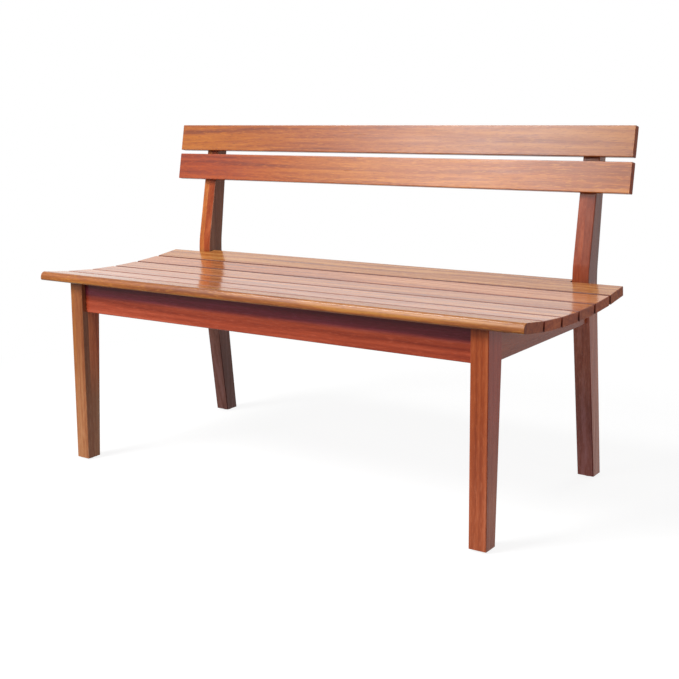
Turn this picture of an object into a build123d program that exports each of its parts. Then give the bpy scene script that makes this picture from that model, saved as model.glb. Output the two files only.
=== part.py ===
from build123d import *
import os
from math import cos, hypot, radians, sin, sqrt, tan

os.makedirs("parts", exist_ok=True)

# Slatted hardwood bench with a dished seat, in millimetres and degrees.
# X runs along the seat, Y from front to back, Z up. The origin is on the floor, under the middle
# of the whole bench. Left is the side of negative X, as seen from in front.

# Overall size
overall_length = 1250
overall_depth = 597
overall_height = 789

# Front legs: plumb in front, tapered behind below the rails
slat_end_overhang = 78.5
leg_face = 37.5
nose_overhang = 21
front_foot_depth = 39
front_leg_depth = 56

# Rear legs: splayed below the bend, leaning back above it
rear_foot_depth = 40.5
splay_angle = 7.75
bend_above_seat = 23.2
bend_depth = 52
bend_front_radius = 200
bend_rear_radius = 250
back_lean = 10.9
post_top_depth = 31
post_top_drop = 12

# Rails and bearer
rail_drop = 76.3
rail_thickness = 20
front_rail_inset = 11.5
side_rail_inset = 6
rear_rail_inset = 3
bearer_raise = 6

# Seat slats: boards laid round one arc, from the nose backwards, equal ones between first and last
seat_low_height = 438.8
dish_radius = 1770
seat_front_reach = 253
seat_heel_setback = 84.3
slat_thickness = 21
front_slat_width = 82.5
rear_slat_width = 94.5
middle_slat_count = 4
slat_gap = 6.5
nose_top_radius = 9
nose_bottom_radius = 6
post_gap = 1.5
post_side_gap = 2
cut_out_radius = 3

# Back slats
back_slat_width = 67.2
back_slat_thickness = 18
back_slat_gap = 10

# Rounded edges where people sit and lean, and small bevels on hidden edges and sawn ends
edge_radius = 2
hidden_chamfer = 1.5
end_chamfer = 1

# Mortise and tenon joints
tenon_thickness = 8
tenon_shoulder = 8
front_tenon_length = 24
side_tenon_length = 24
side_rear_tenon_length = 20
rear_tenon_length = 13
stub_tenon_length = 8
mortise_cheek_gap = 0.2
mortise_end_gap = 1

# Wood screws, driven through deep counterbores, and the plugs that close the rear ones
screw_diameter = 4
screw_head_diameter = 8
screw_head_height = 2.5
screw_tip_length = 4
screw_tip_diameter = 0.8
wood_under_head = 14
screw_bite = 12
thread_gap = 0.05
shank_gap = 0.25
pilot_end_gap = 1
counterbore_diameter = 10
plug_length = 7
plug_gap = 0.05
front_screw_setback = 59
front_screw_count = 4
back_screw_spacing = 36

# Glides, screws and hidden holes repeat many times, so their round sections have few sides
glide_sides = 24
drilled_sides = 8

# Nailed glides under the feet
glide_height = 4
glide_diameter = 23
nail_diameter = 3
nail_length = 16
nail_gap = 0.1

# One overrun for every cut that runs out into the air
overrun = 5

# Places that follow from the sizes above
nose_y = -overall_depth / 2
heel_y = overall_depth / 2
bend_height = seat_low_height + bend_above_seat
rail_bottom = seat_low_height - rail_drop
leg_outer_x = overall_length / 2 - slat_end_overhang
leg_inner_x = leg_outer_x - leg_face
leg_mid_x = leg_outer_x - leg_face / 2
front_leg_y = nose_y + nose_overhang
front_leg_back_y = front_leg_y + front_leg_depth
splay = radians(splay_angle)
lean = radians(back_lean)
rear_foot_y = heel_y - rear_foot_depth
bend_y = rear_foot_y - (bend_height - glide_height) * tan(splay)
side_rail_x = leg_outer_x - side_rail_inset - rail_thickness / 2
front_rail_y = front_leg_y + front_rail_inset + rail_thickness / 2

# Seat slats as rows: width, and distance of the middle along the arc from its lowest line
seat_run = overall_depth - seat_heel_setback
middle_slats_run = seat_run - front_slat_width - rear_slat_width - slat_gap
middle_slat_width = middle_slats_run / middle_slat_count - slat_gap
slat_widths = [front_slat_width] + [middle_slat_width] * middle_slat_count + [rear_slat_width]
slat_rows = []
reach = -seat_front_reach
for width in slat_widths:
    slat_rows.append((width, reach + width / 2))
    reach += width + slat_gap
last_slat = len(slat_rows) - 1
bed_radius = hypot(dish_radius + slat_thickness, rear_slat_width / 2 - hidden_chamfer)


def slat_radius(row):
    """Radius of the arc that a slat's top middle line lies on, with its lower edges on the bed."""
    half_flat = slat_rows[row][0] / 2 - hidden_chamfer
    return sqrt(bed_radius**2 - half_flat**2) - slat_thickness


def slat_angle(row):
    """Pitch of a slat in radians, negative in front of the lowest line."""
    return slat_rows[row][1] / dish_radius


# The lowest line of the dish lies where the rounded nose just reaches the front of the bench
nose_angle = slat_angle(0)
nose_along = -front_slat_width / 2 + nose_bottom_radius
nose_down = -slat_thickness + nose_bottom_radius
nose_from_dish = (
    slat_radius(0) * sin(nose_angle) + nose_along * cos(nose_angle) - nose_down * sin(nose_angle)
)
dish_y = nose_y + nose_bottom_radius - nose_from_dish
dish_z = seat_low_height + dish_radius


def slat_middle(row):
    """Y and Z of a slat's top middle line."""
    angle = slat_angle(row)
    return (dish_y + slat_radius(row) * sin(angle), dish_z - slat_radius(row) * cos(angle))


def slat_top_plane(row):
    """Plane on a slat's top: its x runs along the bench, its y across the slat."""
    y, z = slat_middle(row)
    angle = slat_angle(row)
    return Plane(origin=(0, y, z), x_dir=(1, 0, 0), z_dir=(0, -sin(angle), cos(angle)))


def slat_end_plane(row):
    """Plane for a slat's section: its x runs across the slat, its y through the thickness."""
    y, z = slat_middle(row)
    angle = slat_angle(row)
    return Plane(origin=(0, y, z), x_dir=(0, cos(angle), sin(angle)), z_dir=(1, 0, 0))


def underside_height(row, y):
    """Height of a slat's flat underside at a distance y."""
    middle_y, middle_z = slat_middle(row)
    angle = slat_angle(row)
    return middle_z - slat_thickness / cos(angle) + (y - middle_y) * tan(angle)


def bed_height(y):
    """Height of the dished bed on the side rails and the bearer at a distance y."""
    return dish_z - sqrt(bed_radius**2 - (y - dish_y) ** 2)


def leg_front(z):
    """Y of a rear leg's straight front face below the bend."""
    return bend_y + (bend_height - z) * tan(splay)


def back_point(up, behind):
    """Y and Z of a point up the leaning front plane of the posts, and behind that plane."""
    y = bend_y + up * sin(lean) + behind * cos(lean)
    z = bend_height + up * cos(lean) - behind * sin(lean)
    return (y, z)


# The upper back slat's rounded top edge gives the overall height
back_top = (
    overall_height
    - bend_height
    - edge_radius
    - (back_slat_thickness - edge_radius) * sin(lean)
) / cos(lean) + edge_radius
back_slat_bases = {
    "lower": back_top - 2 * back_slat_width - back_slat_gap,
    "upper": back_top - back_slat_width,
}
post_top = back_top - post_top_drop

# Heights of the tenons, less a shoulder above and below
front_rail_top = underside_height(0, front_rail_y)
front_tenon_height = front_rail_top - rail_bottom - 2 * tenon_shoulder
front_tenon_z = (front_rail_top + rail_bottom) / 2
side_front_top = bed_height(front_leg_back_y)
side_front_height = side_front_top - rail_bottom - 2 * tenon_shoulder
side_front_z = (side_front_top + rail_bottom) / 2
side_rear_top = bed_height(leg_front(bend_height))
side_rear_height = side_rear_top - rail_bottom - 2 * tenon_shoulder
side_rear_z = (side_rear_top + rail_bottom) / 2
rear_rail_top = underside_height(last_slat, leg_front(bend_height))
rear_rail_height = (rear_rail_top - rail_bottom) / cos(splay)
rear_tenon_height = rear_rail_height - 2 * tenon_shoulder
bearer_bottom = rail_bottom + bearer_raise
front_rail_back_y = front_rail_y + rail_thickness / 2
bearer_front_top = bed_height(front_rail_back_y)
bearer_front_height = bearer_front_top - bearer_bottom - 2 * tenon_shoulder
bearer_front_z = (bearer_front_top + bearer_bottom) / 2
bearer_rear_height = side_rear_top - bearer_bottom - 2 * tenon_shoulder
bearer_rear_z = (side_rear_top + bearer_bottom) / 2


# Shoulders of the joints: each plane's z points out of the rail and into the mortise


def front_rail_shoulder(side):
    """Shoulder of the front rail on a front leg's inner face."""
    origin = (side * leg_inner_x, front_rail_y, front_tenon_z)
    return Plane(origin=origin, x_dir=(0, 1, 0), z_dir=(side, 0, 0))


def side_front_shoulder(side):
    """Shoulder of a side rail on a front leg's back face."""
    origin = (side * side_rail_x, front_leg_back_y, side_front_z)
    return Plane(origin=origin, x_dir=(1, 0, 0), z_dir=(0, -1, 0))


def side_rear_root(side):
    """Upright plane just inside a side rail's sloping rear shoulder."""
    origin = (side * side_rail_x, leg_front(bend_height), side_rear_z)
    return Plane(origin=origin, x_dir=(-1, 0, 0), z_dir=(0, 1, 0))


side_rear_reach = leg_front(side_rear_z) - leg_front(bend_height) + side_rear_tenon_length

# Rear rail's board stands on this line and leans with the legs
rear_rail_foot = (leg_front(rail_bottom) + rear_rail_inset / cos(splay), rail_bottom)
rear_rail_plane = Plane(
    origin=(0, *rear_rail_foot), x_dir=(0, cos(splay), sin(splay)), z_dir=(1, 0, 0)
)


def rear_rail_shoulder(side):
    """Shoulder of the rear rail on a rear leg's inner face."""
    across = rail_thickness / 2
    up = rear_rail_height / 2
    y = rear_rail_foot[0] + across * cos(splay) - up * sin(splay)
    z = rear_rail_foot[1] + across * sin(splay) + up * cos(splay)
    origin = (side * leg_inner_x, y, z)
    return Plane(origin=origin, x_dir=(0, cos(splay), sin(splay)), z_dir=(side, 0, 0))


bearer_front_shoulder = Plane(
    origin=(0, front_rail_back_y, bearer_front_z), x_dir=(1, 0, 0), z_dir=(0, -1, 0)
)
bearer_rear_shoulder = Plane(
    origin=(0, leg_front(bearer_rear_z) + rear_rail_inset / cos(splay), bearer_rear_z),
    x_dir=(-1, 0, 0),
    z_dir=(0, cos(splay), sin(splay)),
)


def add_tenon(shoulder, height, length):
    """Adds a tenon to the rail being built."""
    with BuildSketch(shoulder) as section:
        Rectangle(tenon_thickness, height)
    extrude(section.sketch, amount=length)


def cut_mortise(shoulder, height, length):
    """Cuts a mortise, a little larger than its tenon, into the piece being built."""
    with BuildSketch(shoulder) as section:
        Rectangle(tenon_thickness + 2 * mortise_cheek_gap, height + 2 * mortise_cheek_gap)
    extrude(section.sketch, amount=length + mortise_end_gap, mode=Mode.SUBTRACT)


# Screw places: each plane lies under a screw's head and its z points back out of the counterbore


def dished_screw_planes(x):
    """Upright screws through a dished rail, one into the middle of every slat but the first."""
    planes = []
    for row in range(1, len(slat_rows)):
        y = slat_middle(row)[0]
        origin = (x, y, bed_height(y) - wood_under_head)
        planes.append(Plane(origin=origin, x_dir=(1, 0, 0), z_dir=(0, 0, -1)))
    return planes


side_screw_planes = {side: dished_screw_planes(side * side_rail_x) for side in (-1, 1)}
bearer_screw_planes = dished_screw_planes(0)
front_screw_end_x = leg_inner_x - front_screw_setback
front_screw_spacing = 2 * front_screw_end_x / (front_screw_count - 1)
front_screw_planes = [
    Plane(
        origin=(
            place * front_screw_spacing - front_screw_end_x,
            front_rail_y,
            front_rail_top - wood_under_head,
        ),
        x_dir=(1, 0, 0),
        z_dir=(0, 0, -1),
    )
    for place in range(front_screw_count)
]


def back_screws_at(side, base):
    """Screws through a post into one back slat, square to the posts' front plane."""
    planes = []
    for distance in (-back_screw_spacing / 2, back_screw_spacing / 2):
        y, z = back_point(base + back_slat_width / 2 + distance, wood_under_head)
        origin = (side * leg_mid_x, y, z)
        planes.append(Plane(origin=origin, x_dir=(1, 0, 0), z_dir=(0, cos(lean), -sin(lean))))
    return planes


post_screw_planes = {
    side: [plane for base in back_slat_bases.values() for plane in back_screws_at(side, base)]
    for side in (-1, 1)
}


def drill(planes, radius, travel):
    """Cuts a hole from each plane along its z, or against it where travel is negative."""
    with BuildSketch(*planes) as section:
        RegularPolygon(radius, drilled_sides)
    extrude(section.sketch, amount=travel, mode=Mode.SUBTRACT)


def drill_clearance(planes):
    """Clearance holes for the screws' shanks, right through the wood under their heads."""
    drill(planes, screw_diameter / 2 + shank_gap, -wood_under_head - overrun)


def drill_pilots(planes):
    """Blind pilot holes for the screws' threads in the slat being built."""
    drill(planes, screw_diameter / 2 + thread_gap, -wood_under_head - screw_bite - pilot_end_gap)


def drill_rail(planes):
    """Clearance holes in a rail, counterbored from below up to the heads' seats."""
    drill_clearance(planes)
    drill(planes, counterbore_diameter / 2, bend_height - rail_bottom)


def drill_post(planes):
    """Clearance holes in a post, counterbored from behind and left round for the plugs."""
    drill_clearance(planes)
    with BuildSketch(*planes) as section:
        Circle(counterbore_diameter / 2)
    extrude(section.sketch, amount=bend_depth, mode=Mode.SUBTRACT)


def rising_edges(piece):
    """Edges that run up a leg and not across it."""
    return piece.edges().filter_by(lambda edge: abs(edge.tangent_at(0).Z) > abs(edge.tangent_at(0).Y))


def drill_foot(x, y):
    """Hole for a glide's nail, up into the foot of the leg being built."""
    sole = Plane(origin=(x, y, glide_height), x_dir=(1, 0, 0), z_dir=(0, 0, -1))
    drill([sole], nail_diameter / 2 + nail_gap, -nail_length - pilot_end_gap)


front_foot_y = front_leg_y + front_foot_depth / 2
rear_foot_mid_y = rear_foot_y + rear_foot_depth / 2


def front_leg(side):
    """Front leg, its top cut to the pitch of the front slat that lies on it."""
    top = underside_height(0, front_leg_y) + overrun
    with BuildPart() as leg:
        with BuildSketch(Plane.YZ.offset(side * leg_inner_x)):
            with BuildLine():
                Polyline(
                    (front_leg_y, glide_height),
                    (front_leg_y + front_foot_depth, glide_height),
                    (front_leg_back_y, rail_bottom),
                    (front_leg_back_y, top),
                    (front_leg_y, top),
                    close=True,
                )
            make_face()
        extrude(amount=side * leg_face)
        split(bisect_by=slat_top_plane(0).offset(-slat_thickness), keep=Keep.BOTTOM)
        fillet(rising_edges(leg), radius=edge_radius)
        cut_mortise(front_rail_shoulder(side), front_tenon_height, front_tenon_length)
        cut_mortise(side_front_shoulder(side), side_front_height, side_tenon_length)
        drill_foot(side * leg_mid_x, front_foot_y)
    return leg


def rear_leg(side):
    """Rear leg and post in one: sawn with a bend at seat height, thinner towards both ends."""
    top_front = back_point(post_top, 0)
    top_back = back_point(post_top, post_top_depth)
    with BuildPart() as leg:
        with BuildSketch(Plane.YZ.offset(side * leg_inner_x)) as outline:
            with BuildLine():
                Polyline(
                    (rear_foot_y, glide_height),
                    (heel_y, glide_height),
                    (bend_y + bend_depth, bend_height),
                    top_back,
                    top_front,
                    (bend_y, bend_height),
                    close=True,
                )
            make_face()
            bend_front, bend_back = outline.vertices().group_by(Axis.Y)[1].sort_by(Axis.X)
            fillet(bend_front, radius=bend_front_radius)
            fillet(bend_back, radius=bend_rear_radius)
        extrude(amount=side * leg_face)
        fillet(rising_edges(leg), radius=edge_radius)
        chamfer(leg.faces().sort_by(Axis.Z)[-1].edges(), length=end_chamfer)
        cut_mortise(side_rear_root(side), side_rear_height, side_rear_reach)
        cut_mortise(rear_rail_shoulder(side), rear_tenon_height, rear_tenon_length)
        drill_post(post_screw_planes[side])
        drill_foot(side * leg_mid_x, rear_foot_mid_y)
    return leg


def front_rail():
    """Front rail, bevelled to the underside of the front slat."""
    with BuildPart() as rail:
        with BuildSketch(Plane.XY.offset(rail_bottom)):
            with Locations((0, front_rail_y)):
                Rectangle(2 * leg_inner_x, rail_thickness)
        extrude(amount=front_rail_top - rail_bottom + overrun)
        split(bisect_by=slat_top_plane(0).offset(-slat_thickness), keep=Keep.BOTTOM)
        fillet(rail.edges().filter_by(Axis.X).group_by(Axis.Z)[0], radius=edge_radius)
        for side in (-1, 1):
            add_tenon(front_rail_shoulder(side), front_tenon_height, front_tenon_length)
        cut_mortise(bearer_front_shoulder, bearer_front_height, stub_tenon_length)
        drill_rail(front_screw_planes)
    return rail


def rear_rail():
    """Rear rail, leaning with the rear legs, its top bevelled to the rear slat."""
    with BuildPart() as rail:
        with BuildSketch(rear_rail_plane):
            Rectangle(rail_thickness, rear_rail_height + overrun, align=(Align.MIN, Align.MIN))
        extrude(amount=leg_inner_x, both=True)
        split(bisect_by=slat_top_plane(last_slat).offset(-slat_thickness), keep=Keep.BOTTOM)
        fillet(rail.faces().sort_by(Axis.Z)[0].edges().filter_by(Axis.X), radius=edge_radius)
        for side in (-1, 1):
            add_tenon(rear_rail_shoulder(side), rear_tenon_height, rear_tenon_length)
        cut_mortise(bearer_rear_shoulder, bearer_rear_height, stub_tenon_length)
    return rail


def side_rail(side):
    """Side rail: straight below, sawn above to the arc that the slats are laid round."""
    with BuildPart() as rail:
        with BuildSketch(Plane.YZ.offset(side * (side_rail_x - rail_thickness / 2))):
            with BuildLine():
                Polyline(
                    (front_leg_back_y, rail_bottom),
                    (leg_front(rail_bottom), rail_bottom),
                    (leg_front(bend_height), bend_height),
                    (front_leg_back_y, bend_height),
                    close=True,
                )
            make_face()
            with Locations((dish_y, dish_z)):
                Circle(bed_radius, mode=Mode.SUBTRACT)
        extrude(amount=side * rail_thickness)
        fillet(rail.edges().filter_by(Axis.Y).group_by(Axis.Z)[0], radius=edge_radius)
        add_tenon(side_front_shoulder(side), side_front_height, side_tenon_length)
        add_tenon(side_rear_root(side), side_rear_height, side_rear_reach)
        drill_rail(side_screw_planes[side])
    return rail


def centre_bearer():
    """Cross-bearer at mid length, dished like the side rails, stub-tenoned into both long rails."""
    rear_foot = leg_front(bearer_bottom) + rear_rail_inset / cos(splay)
    rear_head = leg_front(bend_height) + rear_rail_inset / cos(splay)
    with BuildPart() as bearer:
        with BuildSketch(Plane.YZ):
            with BuildLine():
                Polyline(
                    (front_rail_back_y, bearer_bottom),
                    (rear_foot, bearer_bottom),
                    (rear_head, bend_height),
                    (front_rail_back_y, bend_height),
                    close=True,
                )
            make_face()
            with Locations((dish_y, dish_z)):
                Circle(bed_radius, mode=Mode.SUBTRACT)
        extrude(amount=rail_thickness / 2, both=True)
        fillet(bearer.edges().filter_by(Axis.Y).group_by(Axis.Z)[0], radius=edge_radius)
        add_tenon(bearer_front_shoulder, bearer_front_height, stub_tenon_length)
        add_tenon(bearer_rear_shoulder, bearer_rear_height, stub_tenon_length)
        drill_rail(bearer_screw_planes)
    return bearer


def pilots_under(row):
    """Screw places whose threads end in one seat slat."""
    if row == 0:
        return front_screw_planes
    rows_of_screws = (side_screw_planes[-1], side_screw_planes[1], bearer_screw_planes)
    return [planes[row - 1] for planes in rows_of_screws]


def front_corner(section, place):
    """One corner on the front side of a slat's section: 0 is the lower one, -1 the upper one."""
    return section.vertices().group_by(Axis.X)[0].sort_by(Axis.Y)[place]


def rear_corner(section, place):
    """One corner on the rear side of a slat's section: 0 is the lower one, -1 the upper one."""
    return section.vertices().group_by(Axis.X)[-1].sort_by(Axis.Y)[place]


def seat_slat(row):
    """Seat slat with eased edges: the first has a round nose, the last is cut out for the posts."""
    width = slat_rows[row][0]
    with BuildPart() as slat:
        with BuildSketch(slat_end_plane(row)) as section:
            Rectangle(width, slat_thickness, align=(Align.CENTER, Align.MAX))
            if row == 0:
                fillet(front_corner(section, -1), radius=nose_top_radius)
                fillet(front_corner(section, 0), radius=nose_bottom_radius)
            else:
                fillet(front_corner(section, -1), radius=edge_radius)
                chamfer(front_corner(section, 0), length=hidden_chamfer)
            fillet(rear_corner(section, -1), radius=edge_radius)
            chamfer(rear_corner(section, 0), length=hidden_chamfer)
        extrude(amount=overall_length / 2, both=True)
        chamfer(slat.faces().filter_by(Axis.X).edges(), length=end_chamfer)
        if row == last_slat:
            cut_out_for_posts(row)
        drill_pilots(pilots_under(row))
    return slat


def cut_out_for_posts(row):
    """Cuts the rear corners away outside the gap between the posts."""
    angle = slat_angle(row)
    post_front = leg_front(bend_height) - post_gap - slat_thickness * sin(angle)
    tab_edge = (post_front - slat_middle(row)[0]) / cos(angle)
    inner_x = leg_inner_x - post_side_gap
    outer_x = overall_length / 2 + overrun
    rear_edge = slat_rows[row][0] / 2 + overrun
    with BuildSketch(slat_top_plane(row).offset(overrun)) as corners:
        for side in (-1, 1):
            with Locations((side * (inner_x + outer_x) / 2, (tab_edge + rear_edge) / 2)):
                Rectangle(outer_x - inner_x, rear_edge - tab_edge)
        fillet(inner_corners(corners, inner_x), radius=cut_out_radius)
    extrude(corners.sketch, amount=-slat_thickness - 2 * overrun, mode=Mode.SUBTRACT)


def inner_corners(corners, inner_x):
    """The one corner of each cut-out that lies inside the board."""
    front = corners.vertices().group_by(Axis.Y)[0]
    return front.filter_by_position(Axis.X, -inner_x - overrun, inner_x + overrun)


def back_slat(base):
    """Back slat on the posts' front plane, all edges eased."""
    plane = Plane(
        origin=(0, *back_point(base, 0)), x_dir=(0, sin(lean), cos(lean)), z_dir=(1, 0, 0)
    )
    pilots = []
    for side in (-1, 1):
        pilots += back_screws_at(side, base)
    with BuildPart() as slat:
        with BuildSketch(plane) as section:
            Rectangle(back_slat_width, back_slat_thickness, align=(Align.MIN, Align.MIN))
            fillet(section.vertices().group_by(Axis.Y)[-1], radius=edge_radius)
            chamfer(section.vertices().group_by(Axis.Y)[0], length=hidden_chamfer)
        extrude(amount=overall_length / 2, both=True)
        chamfer(slat.faces().filter_by(Axis.X).edges(), length=end_chamfer)
        drill_pilots(pilots)
    return slat


def wood_screws(planes):
    """Plain wood screws in one node, each a separate solid."""
    length = wood_under_head + screw_bite
    shank_length = length - screw_tip_length
    with BuildPart() as screw:
        with BuildSketch():
            RegularPolygon(screw_head_diameter / 2, drilled_sides)
        extrude(amount=screw_head_height)
        with BuildSketch():
            RegularPolygon(screw_diameter / 2, drilled_sides)
        extrude(amount=-shank_length)
        with BuildSketch(Plane.XY.offset(-shank_length)):
            RegularPolygon(screw_diameter / 2, drilled_sides)
        with BuildSketch(Plane.XY.offset(-length)):
            RegularPolygon(screw_tip_diameter / 2, drilled_sides)
        loft(ruled=True)
    with BuildPart() as screws:
        with Locations(*planes):
            add(screw.part)
    return screws


def back_screw_plugs():
    """Wooden plugs over the rear screws, trimmed flush with the posts' rear faces."""
    bend_back = (bend_y + bend_depth, bend_height)
    top_back = back_point(post_top, post_top_depth)
    run = (top_back[0] - bend_back[0], top_back[1] - bend_back[1])
    rear_face = Plane(origin=(0, *bend_back), x_dir=(1, 0, 0), z_dir=(0, run[1], -run[0]))
    with BuildPart() as plugs:
        for side in (-1, 1):
            for plane in post_screw_planes[side]:
                to_rear = -rear_face.to_local_coords(plane.origin).Z
                inner_end = to_rear / (rear_face.z_dir.dot(plane.z_dir)) - plug_length
                with BuildSketch(plane.offset(inner_end)) as section:
                    Circle(counterbore_diameter / 2 - plug_gap)
                extrude(section.sketch, amount=plug_length + overrun)
        split(bisect_by=rear_face, keep=Keep.BOTTOM)
    return plugs


def glide(x, y):
    """Round glide with its nail, tapped into the foot."""
    with BuildPart() as disc:
        with BuildSketch(Plane.XY):
            with Locations((x, y)):
                RegularPolygon(glide_diameter / 2, glide_sides)
        extrude(amount=glide_height)
        with BuildSketch(Plane.XY.offset(glide_height)):
            with Locations((x, y)):
                RegularPolygon(nail_diameter / 2, drilled_sides)
        extrude(amount=nail_length)
    return disc


def save(piece, node):
    """Labels one finished piece and writes its file."""
    piece.part.label = node
    export_step(piece.part, f"parts/{node}.step")


for side, hand in ((-1, "left"), (1, "right")):
    save(front_leg(side), f"front_leg_{hand}")
    save(rear_leg(side), f"rear_leg_{hand}")
    save(side_rail(side), f"side_rail_{hand}")
    save(glide(side * leg_mid_x, front_foot_y), f"glide_front_{hand}")
    save(glide(side * leg_mid_x, rear_foot_mid_y), f"glide_rear_{hand}")

save(front_rail(), "front_rail")
save(rear_rail(), "rear_rail")
save(centre_bearer(), "centre_bearer")

for row in range(len(slat_rows)):
    save(seat_slat(row), f"seat_slat_{row + 1}")

for place, base in back_slat_bases.items():
    save(back_slat(base), f"back_slat_{place}")

seat_screw_planes = front_screw_planes + side_screw_planes[-1] + side_screw_planes[1]
save(wood_screws(seat_screw_planes + bearer_screw_planes), "seat_slat_screws")
save(wood_screws(post_screw_planes[-1] + post_screw_planes[1]), "back_slat_screws")
save(back_screw_plugs(), "back_screw_plugs")
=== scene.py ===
import math
import random

import bmesh
import bpy
from bpy.props import FloatProperty, FloatVectorProperty, PointerProperty
from mathutils import Matrix, Vector


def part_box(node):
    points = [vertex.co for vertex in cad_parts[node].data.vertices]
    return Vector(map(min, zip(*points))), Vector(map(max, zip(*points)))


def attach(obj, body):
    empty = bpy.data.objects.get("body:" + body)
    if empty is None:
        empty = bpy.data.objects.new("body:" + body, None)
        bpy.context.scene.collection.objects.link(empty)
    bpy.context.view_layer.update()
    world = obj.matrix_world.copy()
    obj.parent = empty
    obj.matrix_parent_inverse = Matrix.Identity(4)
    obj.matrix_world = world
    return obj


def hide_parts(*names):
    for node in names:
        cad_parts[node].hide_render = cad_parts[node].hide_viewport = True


bl_info = {
    "name": "Dished slat bench",
    "version": (1, 0, 0),
    "blender": (4, 5, 0),
    "location": "View3D > Sidebar > Bench",
    "description": "Dresses a slatted bench in oiled hardwood, with steel screws, and lights it",
    "category": "Object",
}

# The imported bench, in metres: X along the seat, Y from front to back, Z up, origin on the floor
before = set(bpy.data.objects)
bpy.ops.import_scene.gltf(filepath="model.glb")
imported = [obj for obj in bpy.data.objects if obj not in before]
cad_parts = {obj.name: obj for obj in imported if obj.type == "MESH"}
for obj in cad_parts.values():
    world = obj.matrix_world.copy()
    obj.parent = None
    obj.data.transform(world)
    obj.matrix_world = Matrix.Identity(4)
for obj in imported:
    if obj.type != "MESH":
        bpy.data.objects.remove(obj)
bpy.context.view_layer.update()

SEAT_SLATS = [f"seat_slat_{row}" for row in range(1, 7)]
BACK_SLATS = ["back_slat_lower", "back_slat_upper"]
LONG_RAILS = ["front_rail", "rear_rail"]
CROSS_RAILS = ["side_rail_left", "side_rail_right", "centre_bearer"]
FRONT_LEGS = ["front_leg_left", "front_leg_right"]
REAR_LEGS = ["rear_leg_left", "rear_leg_right"]
GLIDES = ["glide_front_left", "glide_front_right", "glide_rear_left", "glide_rear_right"]
SCREWS = ["seat_slat_screws", "back_slat_screws"]
LAMPS = ("key", "fill", "panel", "rear", "strip")

# Axes, as the shader nodes count them
X, Y, Z = 0, 1, 2

# Parts of a board with a tone of their own: the name of the tone, then the two coordinates between
# which it fades in along an axis. Where two axes are given, both have to be met. The legs are glued
# up from strips, and the front legs are paler and bluer towards the floor. Some tones are painted
# light: painted shadow of the nose on the front rail's upper band, painted sheen on the front
# slat's top and towards the right of the back slats, painted shade of the seat on the left rear leg
# under it, and painted light on the right rear leg under the seat.
TONED_PARTS = {
    # Painted sheen, paler and pinker towards the right of the back slats
    "back_slat_lower": (("back_slat_lower_painted_sheen_tone", {X: (-0.55, -0.05)}),),
    "back_slat_upper": (("back_slat_upper_painted_sheen_tone", {X: (-0.20, 0.50)}),),
    # Painted sheen on the front slat's top behind the nose
    "seat_slat_1": (("front_slat_painted_sheen_tone", {Y: (-0.2880, -0.2865)}),),
    # Painted shadow of the front slat's nose on the rail's upper band
    "front_rail": (("front_rail_painted_shadow_tone", {Z: (0.395, 0.408)}),),
    "front_leg_left": (
        ("left_leg_edge_tone", {X: (-0.5345, -0.5350)}),
        ("left_leg_side_tone", {X: (-0.5100, -0.5095)}),
        ("left_leg_foot_tone", {Z: (0.32, 0.06)}),
        ("left_side_foot_tone", {X: (-0.5100, -0.5095), Z: (0.32, 0.06)}),
        ("left_leg_rear_tone", {Y: (-0.2610, -0.2600), Z: (0.12, 0.28)}),
    ),
    "front_leg_right": (
        ("right_leg_side_tone", {X: (0.5455, 0.5460)}),
        ("right_leg_foot_tone", {Z: (0.32, 0.06)}),
    ),
    "rear_leg_left": (
        ("left_strip_tone", {X: (-0.5310, -0.5305)}),
        ("left_side_tone", {X: (-0.5110, -0.5105)}),
        # Painted shade of the seat: the leg under it darker and bluer, its foot darker still
        ("left_foot_painted_shade_tone", {Z: (0.46, 0.42)}),
        ("left_toe_painted_shade_tone", {Z: (0.30, 0.12)}),
    ),
    "rear_leg_right": (
        ("right_strip_tone", {X: (0.5270, 0.5275)}),
        ("right_block_tone", {Z: (0.6395, 0.6400)}),
        # Painted light under the seat: the leg lighter and bluer, a little less at its foot and
        # outer side
        ("right_foot_painted_light_tone", {Z: (0.46, 0.42)}),
        ("right_toe_painted_light_tone", {Z: (0.30, 0.12)}),
        ("right_side_painted_light_tone", {X: (0.5455, 0.5460), Z: (0.46, 0.42)}),
    ),
}

# Eased edges between the seat's boards are rubbed dull and carry painted shade of the gaps between
# them: how dark the edge in front and the edge behind are. The front slat's nose gets no painted
# shade, and is dull only where it is steep.
GAP_SHADE_EDGES = {node: (1.0, 1.0) for node in SEAT_SLATS}
GAP_SHADE_EDGES["seat_slat_1"] = (0.0, 1.0)

# Corners of a rear leg and its post, seen from the side, as (y, z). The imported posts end 4 mm
# lower, where the uppermost counterbore breaks out at the top. Their rear face lies 0.1 mm further
# back, flush with the plugs. The bend's front and rear corners lie on either side of its middle.
FOOT_Z, BEND_Z, REAR_TOP_Z = 0.00400, 0.46200, 0.77227
POST_OUTLINE = (
    (0.25800, FOOT_Z),  # toe
    (0.29840, FOOT_Z),  # heel
    (0.24757, BEND_Z),  # bend behind
    (0.28663, REAR_TOP_Z),  # top behind
    (0.25654, 0.77809),  # top in front
    (0.19567, BEND_Z),  # bend in front
)
BEND_MIDDLE_Y = 0.22

# Into how many steps each round is divided
NOSE_TOP_STEPS, NOSE_BOTTOM_STEPS, EDGE_STEPS = 12, 8, 4
BEND_STEPS, BEVEL_STEPS, SPIN_STEPS = 10, 1, 48

# A corner of a board is on one of its sides when it lies further from the board's middle than this
# share of the board's size
NEARLY_HALF = 0.49

# Lengths in metres below which two levels, and two corners, are the same
SAME_LEVEL, SAME_CORNER = 0.0001, 0.00001

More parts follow.
